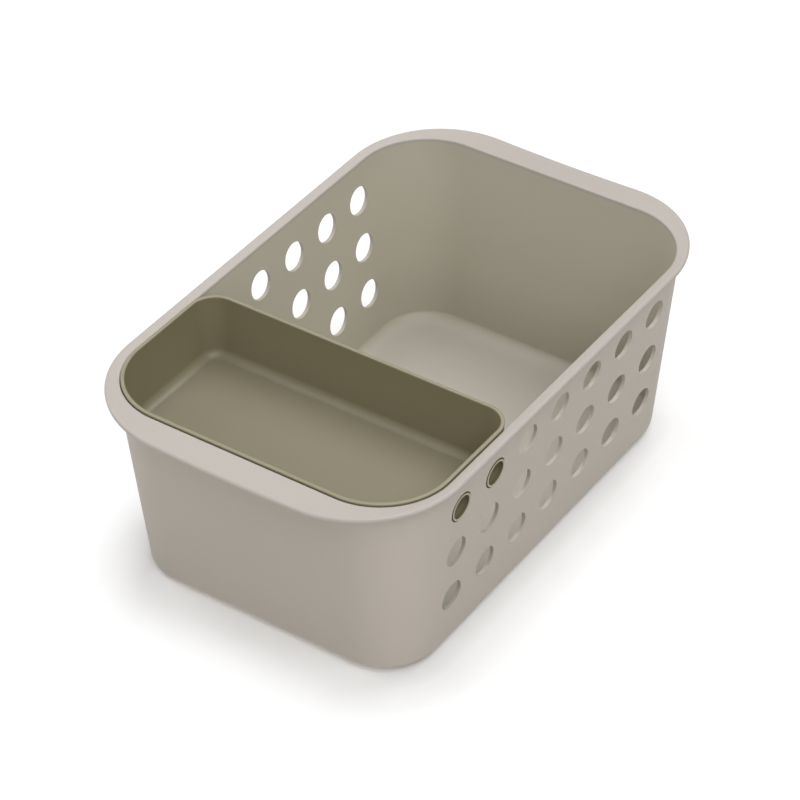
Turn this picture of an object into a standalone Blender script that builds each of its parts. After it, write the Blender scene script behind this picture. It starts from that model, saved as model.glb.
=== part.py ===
# Bathroom storage box: a perforated basket with a lift-out tray.
# The basket is one moulded shell with drafted walls and a rim that widens into grips at both ends.
# The tray hangs at the front end on four hollow studs that snap into the top row of holes.
# Scene units are metres, +Z is up, the box stands on z = 0 and its front end faces -Y.
import math

import bmesh
import bpy

MM = 0.001

# Basket: outer size over the rim, and the wall at the base.
RIM_LENGTH = 309.6 * MM
RIM_WIDTH = 198.4 * MM
HEIGHT = 116.5 * MM
BASE_LENGTH = 259.2 * MM
BASE_WIDTH = 168.2 * MM
BASE_CORNER = 29.4 * MM
WALL = 2 * MM
END_DRAFT = 0.097
SIDE_DRAFT = 0.0965
CORNER_DRAFT = 0.102
BASE_EDGE = 6.5 * MM
FLOOR_FILLET = 5.5 * MM

# Foot ring under the basket: the base panel stands this far off the table.
FOOT_WIDTH = 4 * MM
FOOT_HEIGHT = 1 * MM

# Rim: a flange with rounded edges, narrow along the sides and wide at the ends.
RIM_CORNER = 56.4 * MM
RIM_THICKNESS = 2.8 * MM
RIM_INNER_EDGE = 0.9 * MM
RIM_UPPER_EDGE = 1 * MM
RIM_LOWER_EDGE = 0.8 * MM
RIM_FILLET = 1.8 * MM

# Grips: the outer edge of the rim dips in the middle of each end, by this much and this far out.
GRIP_FALL = 1.8 * MM
GRIP_REACH = 90 * MM

# Round holes in both long walls.
HOLE_RADIUS = 8.2 * MM
HOLE_COLUMNS = 7
HOLE_ROWS = 3
COLUMN_PITCH = 30 * MM
ROW_PITCH = 29.9 * MM
TOP_ROW_HEIGHT = 93.8 * MM

# Tray: hangs inside the front end, its rim a hair above the basket's rim.
TRAY_GAP = 0.8 * MM
TRAY_WALL = 1.8 * MM
TRAY_TOP = 117 * MM
TRAY_REAR = -41.1 * MM
TRAY_REAR_CORNER = 15 * MM
TRAY_DEPTH = 34.6 * MM
TRAY_FLOOR = 1.8 * MM
TRAY_FILLET = 4 * MM
TRAY_BASE_EDGE = 5 * MM

# Studs: hollow, turned, square to the drafted side walls.
STUD_RADIUS = 7.4 * MM
STUD_WALL = 1.3 * MM
STUD_BACK = 0.7 * MM
STUD_CHAMFER = 0.35 * MM
STUD_COLUMNS = (0, 1)
SEAT_GAP = 0.3 * MM

# Facets.
BASKET_CORNER_STEPS = 14
TRAY_CORNER_STEPS = 10
FILLET_STEPS = 5
EDGE_STEPS = 3
END_STEPS = 6
HOLE_STEPS = 28
STUD_STEPS = 32
SMOOTH_ANGLE = math.radians(32)

BASKET_COLOUR = (0.55, 0.50, 0.45, 1.0)
TRAY_COLOUR = (0.31, 0.28, 0.18, 1.0)
PLASTIC_ROUGHNESS = 0.45


def clear_scene():
    for obj in list(bpy.data.objects):
        bpy.data.objects.remove(obj, do_unlink=True)


def make_collection(name):
    collection = bpy.data.collections.new(name)
    bpy.context.scene.collection.children.link(collection)
    return collection


def make_material(name, colour):
    material = bpy.data.materials.new(name)
    material.use_nodes = True
    shader = material.node_tree.nodes["Principled BSDF"]
    shader.inputs["Base Color"].default_value = colour
    shader.inputs["Roughness"].default_value = PLASTIC_ROUGHNESS
    shader.inputs["Metallic"].default_value = 0.0
    return material


def move_to(obj, collection):
    for owner in list(obj.users_collection):
        owner.objects.unlink(obj)
    collection.objects.link(obj)


def place(obj, collection, parent):
    move_to(obj, collection)
    obj.parent = parent
    obj.matrix_parent_inverse = parent.matrix_world.inverted()


def make_empty(name, location, collection):
    empty = bpy.data.objects.new(name, None)
    empty.location = location
    empty.empty_display_size = 20 * MM
    collection.objects.link(empty)
    bpy.context.view_layer.update()
    return empty


# A rounded rectangle at height z. The front and rear corners can have unlike radii.
# The straight front and rear edges are cut into end_steps lengths.
def outline(half_x, front, rear, front_radius, rear_radius, z, steps, end_steps):
    corners = (
        (half_x - rear_radius, rear - rear_radius, rear_radius, 0),
        (rear_radius - half_x, rear - rear_radius, rear_radius, 90),
        (front_radius - half_x, front + front_radius, front_radius, 180),
        (half_x - front_radius, front + front_radius, front_radius, 270),
    )
    points = []
    for centre_x, centre_y, radius, start in corners:
        for step in range(steps + 1):
            angle = math.radians(start + 90 * step / steps)
            x = centre_x + radius * math.cos(angle)
            y = centre_y + radius * math.sin(angle)
            points.append((x, y, z))
        if start in (0, 180):
            for step in range(1, end_steps):
                points.append((x * (1 - 2 * step / end_steps), y, z))
    return points


# A closed body through a list of outlines, with a flat face on the first and the last.
def loft(name, outlines):
    mesh_data = bmesh.new()
    rings = [[mesh_data.verts.new(point) for point in points] for points in outlines]
    count = len(rings[0])
    for lower, upper in zip(rings, rings[1:]):
        for index in range(count):
            after = (index + 1) % count
            mesh_data.faces.new((lower[index], lower[after], upper[after], upper[index]))
    mesh_data.faces.new(rings[0])
    mesh_data.faces.new(rings[-1])
    bmesh.ops.recalc_face_normals(mesh_data, faces=mesh_data.faces)
    mesh = bpy.data.meshes.new(name)
    mesh_data.to_mesh(mesh)
    mesh_data.free()
    return bpy.data.objects.new(name, mesh)


def shade(obj):
    bpy.context.view_layer.objects.active = obj
    for other in bpy.context.selected_objects:
        other.select_set(False)
    obj.select_set(True)
    bpy.ops.object.shade_smooth_by_angle(angle=SMOOTH_ANGLE)


# A quarter round between a level face and an upright one, as pairs (inward, upward).
# It starts on the level face, a full radius inward, and ends on the upright one.
def quarter_round(radius, steps):
    pairs = []
    for step in range(steps + 1):
        angle = math.radians(90 * step / steps)
        pairs.append((radius * (1 - math.sin(angle)), radius * (1 - math.cos(angle))))
    return pairs


# Half width, half length and corner radius of the basket's outer wall at height z.
def basket_wall(z):
    half_x = BASE_WIDTH / 2 + SIDE_DRAFT * z
    half_y = BASE_LENGTH / 2 + END_DRAFT * z
    return half_x, half_y, BASE_CORNER + CORNER_DRAFT * z


# An outline of the basket that runs a given distance inside its outer wall.
def basket_section(inset, z):
    half_x, half_y, radius = basket_wall(z)
    half_x -= inset
    half_y -= inset
    radius -= inset
    return outline(half_x, -half_y, half_y, radius, radius, z, BASKET_CORNER_STEPS, END_STEPS)


# How far the outer edge of the rim lies below the level of its sides.
def grip_fall(x):
    return GRIP_FALL * max(0, 1 - (x / GRIP_REACH) ** 2) ** 2


# An outline of the rim that runs a given distance inside its outermost edge.
# Height z is its level along the sides, and towards the middle of the ends it falls below that.
def rim_section(inset, z):
    half_x = RIM_WIDTH / 2 - inset
    half_y = RIM_LENGTH / 2 - inset
    radius = RIM_CORNER - inset
    level = outline(half_x, -half_y, half_y, radius, radius, z, BASKET_CORNER_STEPS, END_STEPS)
    return [(x, y, z - grip_fall(x)) for x, y, _ in level]


def basket_inside():
    floor = FOOT_HEIGHT + WALL
    sections = []
    for inward, upward in quarter_round(FLOOR_FILLET, FILLET_STEPS):
        sections.append(basket_section(WALL + inward, floor + upward))
    return sections


def basket_rim():
    sections = []
    # Inside edge, from the wall over to the top.
    for outward, downward in reversed(quarter_round(RIM_INNER_EDGE, EDGE_STEPS)):
        sections.append(basket_section(WALL - outward, HEIGHT - downward))
    # Outside edge, over the top and round to the underside.
    for inward, downward in quarter_round(RIM_UPPER_EDGE, EDGE_STEPS):
        sections.append(rim_section(inward, HEIGHT - downward))
    under = HEIGHT - RIM_THICKNESS
    for inward, upward in reversed(quarter_round(RIM_LOWER_EDGE, EDGE_STEPS)):
        sections.append(rim_section(inward, under + upward))
    # Fillet from the underside into the outer wall.
    for outward, downward in quarter_round(RIM_FILLET, EDGE_STEPS):
        sections.append(basket_section(-outward, under - downward))
    return sections


def basket_underside():
    sections = []
    for inward, upward in reversed(quarter_round(BASE_EDGE, FILLET_STEPS)):
        sections.append(basket_section(inward, upward))
    foot_inside = BASE_EDGE + FOOT_WIDTH
    sections.append(basket_section(foot_inside, 0))
    sections.append(basket_section(foot_inside + FOOT_HEIGHT, FOOT_HEIGHT))
    return sections


# One cylinder across the basket, repeated along the columns and down the rows.
def make_hole_cutter(collection):
    bpy.ops.mesh.primitive_cylinder_add(
        vertices=HOLE_STEPS,
        radius=HOLE_RADIUS,
        depth=RIM_WIDTH,
        location=(0, -COLUMN_PITCH * (HOLE_COLUMNS - 1) / 2, TOP_ROW_HEIGHT),
        rotation=(0, math.radians(90), 0),
    )
    cutter = bpy.context.object
    cutter.name = "side_hole_cutter"
    bpy.ops.object.transform_apply(location=False, rotation=True, scale=False)
    repeats = (
        ("columns", HOLE_COLUMNS, (0, COLUMN_PITCH, 0)),
        ("rows", HOLE_ROWS, (0, 0, -ROW_PITCH)),
    )
    for name, count, offset in repeats:
        array = cutter.modifiers.new(name, "ARRAY")
        array.count = count
        array.use_relative_offset = False
        array.use_constant_offset = True
        array.constant_offset_displace = offset
        array.use_merge_vertices = False
    cutter.hide_render = True
    cutter.display_type = "WIRE"
    move_to(cutter, collection)
    return cutter


def make_basket(collection, cutters, parent, material):
    basket = loft("basket_body", basket_inside() + basket_rim() + basket_underside())
    collection.objects.link(basket)
    basket.data.materials.append(material)
    shade(basket)
    holes = basket.modifiers.new("side_holes", "BOOLEAN")
    holes.operation = "DIFFERENCE"
    holes.solver = "EXACT"
    holes.object = make_hole_cutter(cutters)
    place(basket, collection, parent)


# An outline of the tray that runs a given distance inside its outer wall.
# Front and sides follow the basket's inner wall; the rear wall has the same draft as the ends.
def tray_section(inset, z):
    half_x, half_y, radius = basket_wall(z)
    clearance = WALL + TRAY_GAP + inset
    fall = TRAY_TOP - z
    rear = TRAY_REAR - END_DRAFT * fall - inset
    rear_radius = TRAY_REAR_CORNER - CORNER_DRAFT * fall - inset
    front = clearance - half_y
    half_x -= clearance
    radius -= clearance
    return outline(half_x, front, rear, radius, rear_radius, z, TRAY_CORNER_STEPS, 1)


def make_tray(collection, parent, material):
    floor = TRAY_TOP - TRAY_DEPTH
    bottom = floor - TRAY_FLOOR
    sections = []
    for inward, upward in quarter_round(TRAY_FILLET, FILLET_STEPS):
        sections.append(tray_section(TRAY_WALL + inward, floor + upward))
    # Full round along the top of the wall.
    rim_radius = TRAY_WALL / 2
    for step in range(2 * EDGE_STEPS + 1):
        angle = math.radians(90 * step / EDGE_STEPS)
        inset = rim_radius + rim_radius * math.cos(angle)
        sections.append(tray_section(inset, TRAY_TOP - rim_radius + rim_radius * math.sin(angle)))
    for inward, upward in reversed(quarter_round(TRAY_BASE_EDGE, FILLET_STEPS)):
        sections.append(tray_section(inward, bottom + upward))
    tray = loft("storage_tray", sections)
    collection.objects.link(tray)
    tray.data.materials.append(material)
    shade(tray)
    place(tray, collection, parent)


# Profile of a stud in its own frame: x is the radius, z runs outward along its axis.
def stud_profile(length):
    bore = STUD_RADIUS - STUD_WALL
    return (
        (0, STUD_BACK),
        (bore, STUD_BACK),
        (bore, length - STUD_CHAMFER),
        (bore + STUD_CHAMFER, length),
        (STUD_RADIUS - STUD_CHAMFER, length),
        (STUD_RADIUS, length - STUD_CHAMFER),
        (STUD_RADIUS, 0),
        (0, 0),
    )


def make_stud(name, side, column, collection, parent, material):
    half_x, _, _ = basket_wall(TOP_ROW_HEIGHT)
    tilt = math.atan(SIDE_DRAFT)
    length = (WALL + TRAY_GAP) * math.cos(tilt) - SEAT_GAP
    mesh = bpy.data.meshes.new(name)
    points = [(radius, 0, height) for radius, height in stud_profile(length)]
    edges = [(index, index + 1) for index in range(len(points) - 1)]
    mesh.from_pydata(points, edges, [])
    stud = bpy.data.objects.new(name, mesh)
    collection.objects.link(stud)
    turn = stud.modifiers.new("turn", "SCREW")
    turn.axis = "Z"
    turn.steps = STUD_STEPS
    turn.render_steps = STUD_STEPS
    turn.use_merge_vertices = True
    turn.merge_threshold = 0.01 * MM
    stud.data.materials.append(material)
    foot_x = side * (half_x - length * math.cos(tilt))
    foot_y = COLUMN_PITCH * (column - (HOLE_COLUMNS - 1) / 2)
    stud.location = (foot_x, foot_y, TOP_ROW_HEIGHT + length * math.sin(tilt))
    stud.rotation_euler = (0, side * (math.radians(90) + tilt), 0)
    bpy.context.view_layer.update()
    place(stud, collection, parent)


def make_studs(collection, parent, material):
    for side, side_name in ((-1, "left"), (1, "right")):
        for column, column_name in zip(STUD_COLUMNS, ("front", "rear")):
            name = f"tray_stud_{side_name}_{column_name}"
            make_stud(name, side, column, collection, parent, material)


def main():
    clear_scene()
    parts = make_collection("bathroom_storage_box")
    cutters = make_collection("cutters")
    box = make_empty("storage_box", (0, 0, 0), parts)
    tray_centre = (TRAY_REAR - basket_wall(TRAY_TOP)[1]) / 2
    tray_slide = make_empty("tray_slide", (0, tray_centre, TRAY_TOP), parts)
    make_basket(parts, cutters, box, make_material("basket_plastic", BASKET_COLOUR))
    make_tray(parts, tray_slide, make_material("tray_plastic", TRAY_COLOUR))
    make_studs(parts, tray_slide, make_material("stud_plastic", TRAY_COLOUR))


main()
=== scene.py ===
import math

import bmesh
import bpy
from mathutils import Matrix, Vector


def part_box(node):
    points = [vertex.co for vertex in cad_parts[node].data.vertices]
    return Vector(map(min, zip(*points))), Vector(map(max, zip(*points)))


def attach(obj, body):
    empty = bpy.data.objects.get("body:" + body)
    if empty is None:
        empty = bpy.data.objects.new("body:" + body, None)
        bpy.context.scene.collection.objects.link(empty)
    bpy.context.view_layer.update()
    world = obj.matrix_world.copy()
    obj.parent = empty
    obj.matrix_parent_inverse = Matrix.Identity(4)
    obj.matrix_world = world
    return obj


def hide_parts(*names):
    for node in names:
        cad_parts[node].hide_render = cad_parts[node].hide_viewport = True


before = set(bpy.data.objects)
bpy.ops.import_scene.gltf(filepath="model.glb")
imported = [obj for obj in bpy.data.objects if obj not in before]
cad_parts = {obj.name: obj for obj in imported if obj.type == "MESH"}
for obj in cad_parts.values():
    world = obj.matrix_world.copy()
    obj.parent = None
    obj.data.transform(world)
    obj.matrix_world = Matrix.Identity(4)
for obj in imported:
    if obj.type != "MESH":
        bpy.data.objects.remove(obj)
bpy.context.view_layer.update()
print("frame loaded:", ", ".join(sorted(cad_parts)))

mm = 0.001
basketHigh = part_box("basket_body")[1]
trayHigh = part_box("storage_tray")[1]


# Outlines and lofts, used by the basket and the tray

def roundedOutline(halfX, front, rear, frontRadius, rearRadius, z, steps, endSteps=1, sideSteps=1):
    corners = [  # centre, radius and first angle, anticlockwise from the rear right
        (halfX - rearRadius, rear - rearRadius, rearRadius, 0),
        (rearRadius - halfX, rear - rearRadius, rearRadius, 90),
        (frontRadius - halfX, front + frontRadius, frontRadius, 180),
        (halfX - frontRadius, front + frontRadius, frontRadius, 270),
    ]
    points = []
    for centreX, centreY, radius, start in corners:
        for step in range(steps + 1):
            angle = math.radians(start + 90 * step / steps)
            x = centreX + radius * math.cos(angle)
            y = centreY + radius * math.sin(angle)
            points.append((x, y, z))
        if start in (0, 180):
            for step in range(1, endSteps):  # along the straight front or rear
                points.append((x * (1 - 2 * step / endSteps), y, z))
        else:
            sideEnd = front + frontRadius if start == 90 else rear - rearRadius
            for step in range(1, sideSteps):
                points.append((x, y + (sideEnd - y) * step / sideSteps, z))
    return points


def quarterRound(radius, steps):  # (inward, upward) from the level side to the upright side
    pairs = []
    for step in range(steps + 1):
        angle = math.radians(90 * step / steps)
        pairs.append((radius * (1 - math.sin(angle)), radius * (1 - math.cos(angle))))
    return pairs


def newObject(name, bm):
    mesh = bpy.data.meshes.new(name)
    bm.to_mesh(mesh)
    bm.free()
    obj = bpy.data.objects.new(name, mesh)
    bpy.context.scene.collection.objects.link(obj)
    return obj


def loftObject(name, outlines):
    bm = bmesh.new()
    rings = [[bm.verts.new(point) for point in outline] for outline in outlines]
    for lower, upper in zip(rings, rings[1:]):
        for index in range(len(lower)):
            after = (index + 1) % len(lower)
            bm.faces.new((lower[index], lower[after], upper[after], upper[index]))
    bm.faces.new(rings[0])
    bm.faces.new(rings[-1])
    bmesh.ops.recalc_face_normals(bm, faces=bm.faces)
    return newObject(name, bm)


# Cutting and joining with helper bodies that are removed again

sharpAngle = 40  # degrees between two faces from which the edge between them is rounded


def discs(name, places, radius, depth, segments):  # closed cylinders, one for each 4x4 place
    bm = bmesh.new()
    for place in places:
        bmesh.ops.create_cone(
            bm, cap_ends=True, segments=segments, radius1=radius, radius2=radius, depth=depth, matrix=place
        )
    return newObject(name, bm)


def carve(obj, helper, operation):
    boolean = obj.modifiers.new("carve", "BOOLEAN")
    boolean.operation = operation
    boolean.solver = "EXACT"
    boolean.object = helper
    bpy.context.view_layer.update()
    evaluated = obj.evaluated_get(bpy.context.evaluated_depsgraph_get())
    carved = bpy.data.meshes.new_from_object(evaluated)
    obj.modifiers.remove(boolean)
    obj.data = carved
    bpy.data.objects.remove(helper)


def softenEdges(obj, width, segments):
    obj.data.polygons.foreach_set("use_smooth", [True] * len(obj.data.polygons))
    bevel = obj.modifiers.new("soft edges", "BEVEL")
    bevel.width = width
    bevel.segments = segments
    bevel.limit_method = "ANGLE"
    bevel.angle_limit = math.radians(sharpAngle)
    bevel.use_clamp_overlap = True
    weighted = obj.modifiers.new("even shading", "WEIGHTED_NORMAL")
    weighted.mode = "FACE_AREA"
    weighted.weight = 100  # large faces win, so that flat walls stay flat
    weighted.keep_sharp = True


def paint(obj, material):
    obj.data.materials.clear()
    obj.data.materials.append(material)


# Basket

basket = {
    "wall": 2.0 * mm,
    "baseWidth": 168.2 * mm,
    "baseLength": 259.2 * mm,
    "baseCorner": 29.4 * mm,
    "sideDraft": 0.0965,  # the walls and corners grow outward by this share of the height
    "endDraft": 0.097,
    "cornerDraft": 0.102,
    "baseEdge": 6.5 * mm,
    "floorFilletReach": 10 * mm,
    "floorFilletRise": 4.5 * mm,
    "footWidth": 4 * mm,
    "footHeight": 1 * mm,
    "rimCorner": 56.4 * mm,
    "rimThickness": 2.8 * mm,
    "rimInnerEdge": 0.9 * mm,
    "rimUpperEdge": 1.4 * mm,
    "rimLowerEdge": 1.2 * mm,
    "rimFillet": 1.8 * mm,
    "rimDip": 0.5 * mm,  # the inner edge of the rim lies this much below the outer edge
    "gripFall": 1.8 * mm,  # the outer edge of the rim dips in the middle of each end
    "gripReach": 90 * mm,
    "bow": 1.1 * mm,  # the long walls bow inward between base and rim
    "bowMiddle": 10 * mm,
    "bowReach": 100 * mm,
    "cornerSteps": 28,
    "endSteps": 16,
    "sideSteps": 20,
    "wallSteps": 10,
    "roundSteps": 8,
}
holes = {
    "radius": 8.2 * mm,
    "columns": 7,
    "rows": 3,
    "columnPitch": 30 * mm,
    "rowPitch": 29.9 * mm,
    "topRow": 93.8 * mm,
    "segments": 72,
    "edge": 0.4 * mm,
    "edgeSegments": 3,
}
rimTop = basketHigh.z


def basketWall(z):  # half width, half length and corner radius of the outer wall
    halfX = basket["baseWidth"] / 2 + basket["sideDraft"] * z
    halfY = basket["baseLength"] / 2 + basket["endDraft"] * z
    return halfX, halfY, basket["baseCorner"] + basket["cornerDraft"] * z


def basketOutline(halfX, halfY, radius, z):
    counts = (basket[name] for name in ("cornerSteps", "endSteps", "sideSteps"))
    return roundedOutline(halfX, -halfY, halfY, radius, radius, z, *counts)


def wallBow(y, z):
    along = min(1, abs(y - basket["bowMiddle"]) / basket["bowReach"])
    return basket["bow"] * math.cos(math.pi / 2 * along) ** 2 * math.sin(math.pi * z / rimTop)


def wallOutline(inset, z):
    halfX, halfY, radius = basketWall(z)
    straight = basketOutline(halfX - inset, halfY - inset, radius - inset, z)
    return [(x - math.copysign(wallBow(y, z), x), y, z) for x, y, z in straight]


def wallLevels(low, high):  # heights between two outlines of the wall
    steps = basket["wallSteps"]
    return [low + (high - low) * step / steps for step in range(1, steps)]


def gripFall(x):
    return basket["gripFall"] * max(0, 1 - (x / basket["gripReach"]) ** 2) ** 2


def rimOutline(inset, z):  # z is the level along the sides
    level = basketOutline(basketHigh.x - inset, basketHigh.y - inset, basket["rimCorner"] - inset, z)
    return [(x, y, z - gripFall(x)) for x, y, z in level]


def basketOutlines():  # from the floor up the inside, over the rim and down the outside to the foot
    steps = basket["roundSteps"]
    wall = basket["wall"]
    floor = basket["footHeight"] + wall
    outlines = []
    reach, rise = basket["floorFilletReach"], basket["floorFilletRise"]
    for inward, upward in quarterRound(1, steps):
        outlines.append(wallOutline(wall + inward * reach, floor + upward * rise))
    for z in wallLevels(floor + rise, rimTop - basket["rimDip"] - basket["rimInnerEdge"]):
        outlines.append(wallOutline(wall, z))
    for outward, downward in reversed(quarterRound(basket["rimInnerEdge"], steps // 2)):
        outlines.append(wallOutline(wall - outward, rimTop - basket["rimDip"] - downward))
    for inward, downward in quarterRound(basket["rimUpperEdge"], steps):
        outlines.append(rimOutline(inward, rimTop - downward))
    under = rimTop - basket["rimThickness"]
    for inward, upward in reversed(quarterRound(basket["rimLowerEdge"], steps // 2)):
        outlines.append(rimOutline(inward, under + upward))
    for outward, downward in quarterRound(basket["rimFillet"], steps // 2):
        outlines.append(wallOutline(-outward, under - downward))
    for z in wallLevels(under - basket["rimFillet"], basket["baseEdge"]):
        outlines.append(wallOutline(0, z))
    for inward, upward in reversed(quarterRound(basket["baseEdge"], steps)):
        outlines.append(wallOutline(inward, upward))
    footInside = basket["baseEdge"] + basket["footWidth"]
    outlines.append(wallOutline(footInside, 0))
    outlines.append(wallOutline(footInside + basket["footHeight"], basket["footHeight"]))
    return outlines


def columnY(column):  # counted from the front end
    return holes["columnPitch"] * (column - (holes["columns"] - 1) / 2)


def holePlaces():
    turn = Matrix.Rotation(math.radians(90), 4, "Y")
    places = []
    for column in range(holes["columns"]):
        for row in range(holes["rows"]):
            z = holes["topRow"] - row * holes["rowPitch"]
            places.append(Matrix.Translation((0, columnY(column), z)) @ turn)
    return places


def makeBasket(material):
    obj = loftObject("basket_shell", basketOutlines())
    cutter = discs("hole cutter", holePlaces(), holes["radius"], 2 * basketHigh.x, holes["segments"])
    carve(obj, cutter, "DIFFERENCE")
    softenEdges(obj, holes["edge"], holes["edgeSegments"])
    paint(obj, material)
    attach(obj, "basket")
    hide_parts("basket_body")
    print("basket:", len(obj.data.polygons), "faces before its edges are softened")


# Tray and its studs, one moulding

tray = {
    "gap": 0.35 * mm,
    "wall": 2.0 * mm,
    "rear": -41.1 * mm,
    "rearCorner": 15 * mm,
    "depth": 34.6 * mm,
    "floor": 1.8 * mm,
    "fillet": 4.4 * mm,
    "rimInnerEdge": 0.5 * mm,
    "rimOuterEdge": 0.65 * mm,
    "baseEdge": 5 * mm,
    "cornerSteps": 28,
    "roundSteps": 8,
}
studs = {
    "radius": 7.5 * mm,
    "wall": 1.0 * mm,
    "proud": 0.35 * mm,  # how far they stick out of the basket's wall
    "root": 0.9 * mm,  # how far they reach into the tray's wall
    "skin": 0.5 * mm,  # what their bores leave of it
    "columns": (0, 1),
    "segments": 72,
    "edge": 0.25 * mm,
    "edgeSegments": 3,
}


def trayOutline(inset, z):
    halfX, halfY, radius = basketWall(z)
    clearance = basket["wall"] + tray["gap"] + inset
    fall = trayHigh.z - z
    rear = tray["rear"] - basket["endDraft"] * fall - inset
    rearRadius = tray["rearCorner"] - basket["cornerDraft"] * fall - inset
    front = clearance - halfY
    steps = tray["cornerSteps"]
    return roundedOutline(halfX - clearance, front, rear, radius - clearance, rearRadius, z, steps)


def trayOutlines():
    floor = trayHigh.z - tray["depth"]
    bottom = floor - tray["floor"]
    steps = tray["roundSteps"]
    outlines = []
    for inward, upward in quarterRound(tray["fillet"], steps):
        outlines.append(trayOutline(tray["wall"] + inward, floor + upward))
    for outward, downward in reversed(quarterRound(tray["rimInnerEdge"], steps // 2)):
        outlines.append(trayOutline(tray["wall"] - outward, trayHigh.z - downward))
    for inward, downward in quarterRound(tray["rimOuterEdge"], steps):
        outlines.append(trayOutline(inward, trayHigh.z - downward))
    for inward, upward in reversed(quarterRound(tray["baseEdge"], steps)):
        outlines.append(trayOutline(inward, bottom + upward))
    return outlines


def studDiscs(name, start, end, radius):  # start and end are distances in from the basket's outer wall
    tilt = math.atan(basket["sideDraft"])
    halfX = basketWall(holes["topRow"])[0]
    middle = (start + end) / 2
    places = []
    for side in (-1, 1):
        for column in studs["columns"]:
            x = side * (halfX - middle * math.cos(tilt))
            z = holes["topRow"] + middle * math.sin(tilt)
            turn = Matrix.Rotation(side * (math.radians(90) + tilt), 4, "Y")
            places.append(Matrix.Translation((x, columnY(column), z)) @ turn)
    return discs(name, places, radius, end - start, studs["segments"])


def makeTray(material):
    obj = loftObject("storage_tray_with_studs", trayOutlines())
    reach = basket["wall"] + tray["gap"]
    rings = studDiscs("stud rings", -studs["proud"], reach + studs["root"], studs["radius"])
    carve(obj, rings, "UNION")
    boreEnd = reach + tray["wall"] - studs["skin"]
    bores = studDiscs("stud bores", -basket["wall"], boreEnd, studs["radius"] - studs["wall"])
    carve(obj, bores, "DIFFERENCE")
    softenEdges(obj, studs["edge"], studs["edgeSegments"])
    paint(obj, material)
    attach(obj, "tray")
    studNodes = [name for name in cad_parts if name.startswith("tray_stud")]
    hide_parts("storage_tray", *studNodes)
    print("tray:", len(obj.data.polygons), "faces before its edges are softened")


# Shader nodes, set out in rows in the order in which they are made

nodeGrid = {"perRow": 8, "column": 200, "row": 300}
mixSockets = {"share": 0, "first": 6, "second": 7, "result": 2}  # of a Mix node for colours
white = (1, 1, 1, 1)


def newNode(tree, kind):
    row, column = divmod(len(tree.nodes), nodeGrid["perRow"])
    node = tree.nodes.new(kind)
    node.location = (column * nodeGrid["column"], -(row + 1) * nodeGrid["row"])
    return node


def feed(tree, socket, value):  # a fixed value, or another node's output
    if isinstance(value, bpy.types.NodeSocket):
        tree.links.new(value, socket)
    else:
        socket.default_value = value


def noise(tree, place, settings):
    node = newNode(tree, "ShaderNodeTexNoise")
    for name, value in settings.items():
        node.inputs[name].default_value = value
    tree.links.new(place.outputs["Object"], node.inputs["Vector"])
    return node.outputs["Fac"]


def ramp(tree, source, start, full, low=0, high=1, shape="LINEAR"):
    node = newNode(tree, "ShaderNodeMapRange")
    node.interpolation_type = shape
    names = ("Value", "From Min", "From Max", "To Min", "To Max")
    for name, value in zip(names, (source, start, full, low, high)):
        feed(tree, node.inputs[name], value)
    return node.outputs["Result"]


def blendColours(tree, share, first, second):
    node = newNode(tree, "ShaderNodeMix")
    node.data_type = "RGBA"
    for name, value in (("share", share), ("first", first), ("second", second)):
        feed(tree, node.inputs[mixSockets[name]], value)
    return node.outputs[mixSockets["result"]]


def vectorMath(tree, operation, first, second=(0, 0, 0)):
    node = newNode(tree, "ShaderNodeVectorMath")
    node.operation = operation
    feed(tree, node.inputs[0], first)
    feed(tree, node.inputs[1], second)
    return node.outputs["Value" if operation in ("DOT_PRODUCT", "LENGTH") else "Vector"]


# Moulded plastic

across, up = (1, 0, 0), (0, 0, 1)
wallOutward = (1, 0, -basket["sideDraft"])
studFace = basket["baseWidth"] / 2 + studs["proud"]
insideFrom = (-10 * mm, -30 * mm)  # product of a face's direction and its place from the middle
surface = {  # alike on both plastics
    "cloud": {"Scale": 22, "Detail": 3, "Roughness": 0.5},
    "patches": {"Scale": 60, "Detail": 4, "Roughness": 0.6},
    "grain": {"Scale": 1 / (0.18 * mm), "Detail": 2, "Roughness": 0.5},
    "grainDepth": 0.004 * mm,
    "specular": 0.5,
}
basketPlastic = {
    "colour": (0.529, 0.474, 0.409, 1),
    "paler": (0.539, 0.483, 0.417, 1),
    "roughness": (0.40, 0.48),
    "middle": (0, 0, 60 * mm),  # faces that look towards it are inside
    # The inside tones are lit and shaded copies of the same plastic, standing in for light bouncing round
    # inside: greener walls, painted shade darkening the foot of the walls, and a slightly lighter floor.
    "insideColour": (0.519, 0.484, 0.395, 1),
    "insideFoot": (0.457, 0.426, 0.348, 1),
    "insideFloor": (0.519, 0.493, 0.429, 1),
    "floorTop": 3.5 * mm,  # heights at which the three inside tones are reached
    "wallFoot": 5.5 * mm,
    "wallTop": 45 * mm,
    # Bands of painted light and shade over the plastic's colour.
    "edges": [  # direction, where the edge begins and is full, colour there
        # the top of the rim, painted darker and greyer: painted shade and a painted reflection
        (up, 113.6 * mm, 114.6 * mm, (0.472, 0.430, 0.394, 1)),
    ],
}
# Painted shade: the faces inside the holes are darkened.
holeShade = {  # the faces inside the holes, which look along the wall
    "colour": (0.500, 0.452, 0.392, 1),
    "beyond": (82.5 * mm, 83.2 * mm),  # from the middle of the basket
    "below": (106 * mm, 104 * mm),
    "turned": (0.8, 0.5),  # how far they face across the basket
}
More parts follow.
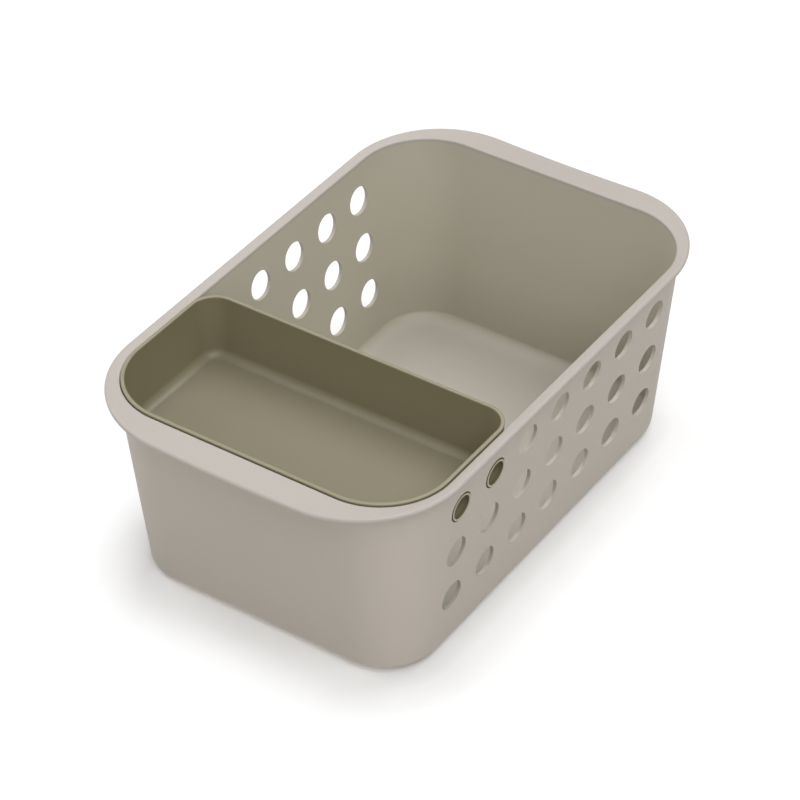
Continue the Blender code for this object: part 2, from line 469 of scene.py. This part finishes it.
trayPlastic = {
    "colour": (0.223, 0.198, 0.127, 1),
    "paler": (0.230, 0.204, 0.131, 1),
    "roughness": (0.38, 0.46),
    "middle": (0, -90 * mm, 130 * mm),
    # Inside the tray, lit and shaded copies of the same plastic: painted shade darkens the walls, fading
    # to a paler painted foot and floor.
    "insideColour": (0.216, 0.191, 0.114, 1),
    "insideFoot": (0.224, 0.198, 0.122, 1),
    "insideFloor": (0.231, 0.207, 0.140, 1),
    "floorTop": 82.5 * mm,
    "wallFoot": 86 * mm,
    "wallTop": 110 * mm,
    # Bands of painted light and shade over the plastic's colour.
    "edges": [  # the rim, the sides of the studs and their faces
        # a painted highlight on the tray's rim
        (up, 116.1 * mm, 116.4 * mm, (0.306, 0.276, 0.188, 1)),
        # painted shade on the sides of the studs and the walls of their bores
        (wallOutward, studFace - 2.3 * mm, studFace - 1.9 * mm, (0.150, 0.130, 0.075, 1)),
        # a painted highlight on the faces of the studs
        (wallOutward, studFace - 0.3 * mm, studFace - 0.1 * mm, (0.46, 0.43, 0.31, 1)),
    ],
}


# Faces that look towards the middle get the painted inside light and shade, blended from floor to foot to
# wall by height.
def paintInsideLighting(tree, place, colour, look):
    away = vectorMath(tree, "SUBTRACT", place.outputs["Object"], look["middle"])
    outward = vectorMath(tree, "DOT_PRODUCT", away, place.outputs["Normal"])
    height = vectorMath(tree, "DOT_PRODUCT", place.outputs["Object"], up)
    foot = ramp(tree, height, look["floorTop"], look["wallFoot"])
    rise = ramp(tree, height, look["wallFoot"], look["wallTop"])
    lower = blendColours(tree, foot, look["insideFloor"], look["insideFoot"])
    inside = blendColours(tree, rise, lower, look["insideColour"])
    return blendColours(tree, ramp(tree, outward, *insideFrom), colour, inside)


# Darkens the faces inside the holes with painted shade.
def paintHoleShade(tree, place, colour, look):
    mirrored = vectorMath(tree, "ABSOLUTE", place.outputs["Object"])
    facing = vectorMath(tree, "ABSOLUTE", place.outputs["Normal"])
    tests = [(mirrored, across, "beyond"), (mirrored, up, "below"), (facing, across, "turned")]
    share = 1
    for source, direction, limits in tests:
        along = vectorMath(tree, "DOT_PRODUCT", source, direction)
        share = ramp(tree, along, *look[limits], 0, share)
    return blendColours(tree, share, colour, look["colour"])


# Paints bands of light and shade over the plastic's colour.
def paintLightAndShade(tree, place, colour, edges):  # alike on the left and the right
    mirrored = vectorMath(tree, "ABSOLUTE", place.outputs["Object"])
    for direction, start, full, bandColour in edges:
        along = vectorMath(tree, "DOT_PRODUCT", mirrored, direction)
        colour = blendColours(tree, ramp(tree, along, start, full), colour, bandColour)
    return colour


def mouldedPlastic(name, look, holeShading=None):
    material = bpy.data.materials.new(name)
    material.use_nodes = True
    tree = material.node_tree
    shader = tree.nodes["Principled BSDF"]
    shader.inputs["Specular IOR Level"].default_value = surface["specular"]
    place = newNode(tree, "ShaderNodeTexCoord")

    tone = blendColours(tree, noise(tree, place, surface["cloud"]), look["colour"], look["paler"])
    tone = paintInsideLighting(tree, place, tone, look)
    if holeShading:
        tone = paintHoleShade(tree, place, tone, holeShading)
    feed(tree, shader.inputs["Base Color"], paintLightAndShade(tree, place, tone, look["edges"]))
    sheen = ramp(tree, noise(tree, place, surface["patches"]), 0, 1, *look["roughness"])
    feed(tree, shader.inputs["Roughness"], sheen)

    bump = newNode(tree, "ShaderNodeBump")
    bump.inputs["Strength"].default_value = 1
    bump.inputs["Distance"].default_value = surface["grainDepth"]
    feed(tree, bump.inputs["Height"], noise(tree, place, surface["grain"]))
    feed(tree, shader.inputs["Normal"], bump.outputs["Normal"])
    return material


# Floor: it sends back a plain pale light, and the camera sees it fade to white away from the box

paleFloor = {
    "size": 12.0,
    "segments": 8,
    "drop": 0.2 * mm,  # below the foot of the basket
    "roughness": 0.8,
    "specular": 0.2,
    "cloud": {"Scale": 3, "Detail": 2},
    "colour": (0.59, 0.59, 0.59, 1),
    "paler": (0.61, 0.61, 0.61, 1),
    "near": (0.92, 0.92, 0.92, 1),
    # Painted shadow: the floor the camera sees is darker beside the wall on the right.
    "nearRight": (0.79, 0.79, 0.79, 1),  # beside the wall on the right, where the shadow falls
    "right": (60 * mm, 90 * mm),
    "rightReach": 12 * mm,
    "far": (0.20, 0.20, 0.20, 1),
    "farGlow": 0.84,
    "fade": (8 * mm, 45 * mm),  # distances from the footprint
    "fadeMiddle": (4 * mm, 0, 0),  # this and the next draw in the footprint's left edge only
    "fadeNarrower": 4 * mm,
    "edgeGlow": 0.6,  # light that only the box sees, along the edge of the footprint
    "edge": (-3 * mm, 4 * mm),
}


def cornerDistance(tree, place):  # from the middles of the footprint's round corners
    corner = basket["baseCorner"]
    straightX = basket["baseWidth"] / 2 - corner - paleFloor["fadeNarrower"]
    straightY = basket["baseLength"] / 2 - corner
    centred = vectorMath(tree, "SUBTRACT", place.outputs["Object"], paleFloor["fadeMiddle"])
    mirrored = vectorMath(tree, "ABSOLUTE", centred)
    beyond = vectorMath(tree, "SUBTRACT", mirrored, (straightX, straightY, 0))
    return vectorMath(tree, "LENGTH", vectorMath(tree, "MAXIMUM", beyond))


def floorMaterial():
    material = bpy.data.materials.new("pale floor")
    material.use_nodes = True
    tree = material.node_tree
    shader = tree.nodes["Principled BSDF"]
    shader.inputs["Roughness"].default_value = paleFloor["roughness"]
    shader.inputs["Specular IOR Level"].default_value = paleFloor["specular"]
    shader.inputs["Emission Color"].default_value = white
    place = newNode(tree, "ShaderNodeTexCoord")
    fromCamera = newNode(tree, "ShaderNodeLightPath").outputs["Is Camera Ray"]

    away = cornerDistance(tree, place)
    sideways = vectorMath(tree, "DOT_PRODUCT", place.outputs["Object"], across)
    fadeStart, fadeEnd, edgeStart, edgeEnd, reachEnd = (
        basket["baseCorner"] + distance
        for distance in (*paleFloor["fade"], *paleFloor["edge"], paleFloor["rightReach"])
    )
    fade = ramp(tree, away, fadeStart, fadeEnd, shape="SMOOTHSTEP")
    # the painted shadow beside the right wall
    beside = ramp(tree, away, basket["baseCorner"], reachEnd, 1, 0)
    right = ramp(tree, sideways, *paleFloor["right"], 0, beside)
    near = blendColours(tree, right, paleFloor["near"], paleFloor["nearRight"])
    shown = blendColours(tree, fade, near, paleFloor["far"])
    cloud = noise(tree, place, paleFloor["cloud"])
    plain = blendColours(tree, cloud, paleFloor["colour"], paleFloor["paler"])
    feed(tree, shader.inputs["Base Color"], blendColours(tree, fromCamera, plain, shown))

    farGlow = ramp(tree, fade, 0, 1, 0, paleFloor["farGlow"])
    leftGlow = ramp(tree, sideways, *paleFloor["right"], paleFloor["edgeGlow"], 0)
    edgeGlow = ramp(tree, away, edgeStart, edgeEnd, leftGlow, 0)
    feed(tree, shader.inputs["Emission Strength"], ramp(tree, fromCamera, 0, 1, edgeGlow, farGlow))
    return material


def makeFloor():
    bm = bmesh.new()
    segments = paleFloor["segments"]
    bmesh.ops.create_grid(bm, x_segments=segments, y_segments=segments, size=paleFloor["size"] / 2)
    floor = newObject("floor", bm)
    floor.location.z = -paleFloor["drop"]
    paint(floor, floorMaterial())


# Lights

lighting = {
    "spread": 40,  # degrees across each softbox
    "softboxes": [  # azimuth from the front end, elevation, strength
        (60, 58, 1.26),
        (120, 58, 0.44),
        (180, 58, 1.26),
        (240, 58, 0.14),
        (300, 58, 0.40),
        (0, 25, 0.57),
        (45, 25, 0.28),
        (90, 25, 0.12),
        (90, 8, 0.22),
        (270, 25, 0.95),
    ],
}


def towards(azimuth, elevation):  # from the box, with azimuth round from its front end
    turn, lift = math.radians(azimuth), math.radians(elevation)
    return Vector((math.sin(turn) * math.cos(lift), -math.cos(turn) * math.cos(lift), math.sin(lift)))


def makeSoftboxes():
    for azimuth, elevation, strength in lighting["softboxes"]:
        light = bpy.data.lights.new("softbox", "SUN")
        light.angle = math.radians(lighting["spread"])
        light.energy = strength
        obj = bpy.data.objects.new("softbox", light)
        obj.matrix_world = towards(azimuth, elevation).to_track_quat("Z", "Y").to_matrix().to_4x4()
        bpy.context.scene.collection.objects.link(obj)


def makeWorld():  # white where the camera looks past the floor
    world = bpy.data.worlds.new("white studio")
    world.use_nodes = True
    tree = world.node_tree
    backdrop = tree.nodes["Background"]
    backdrop.inputs["Color"].default_value = white
    rays = newNode(tree, "ShaderNodeLightPath")
    feed(tree, backdrop.inputs["Strength"], rays.outputs["Is Camera Ray"])
    bpy.context.scene.world = world


def makeStudio():
    makeFloor()
    makeWorld()
    makeSoftboxes()
    bpy.context.scene.view_settings.view_transform = "Standard"
    print("studio ready")


# Camera, at the photograph's angle

view = {
    "azimuth": 34.738,  # degrees round the box from its front end
    "elevation": 38.849,
    "roll": -0.884,
    "distance": 1.6264,
    "aim": (0.0076, -0.01655, 0.07183),
    "lens": 144.31,
    "sensor": 36,
}


def makeCamera():
    back = towards(view["azimuth"], view["elevation"])
    roll = math.radians(view["roll"])
    camera = bpy.data.cameras.new("camera")
    camera.lens = view["lens"]
    camera.sensor_width = view["sensor"]
    obj = bpy.data.objects.new("camera", camera)
    turned = back.to_track_quat("Z", "Y").to_matrix().to_4x4() @ Matrix.Rotation(roll, 4, "Z")
    obj.matrix_world = Matrix.Translation(Vector(view["aim"]) + back * view["distance"]) @ turned
    bpy.context.scene.collection.objects.link(obj)
    bpy.context.scene.camera = obj
    print("camera ready")


makeCamera()
makeBasket(mouldedPlastic("basket plastic", basketPlastic, holeShade))
makeTray(mouldedPlastic("tray plastic", trayPlastic))
makeStudio()
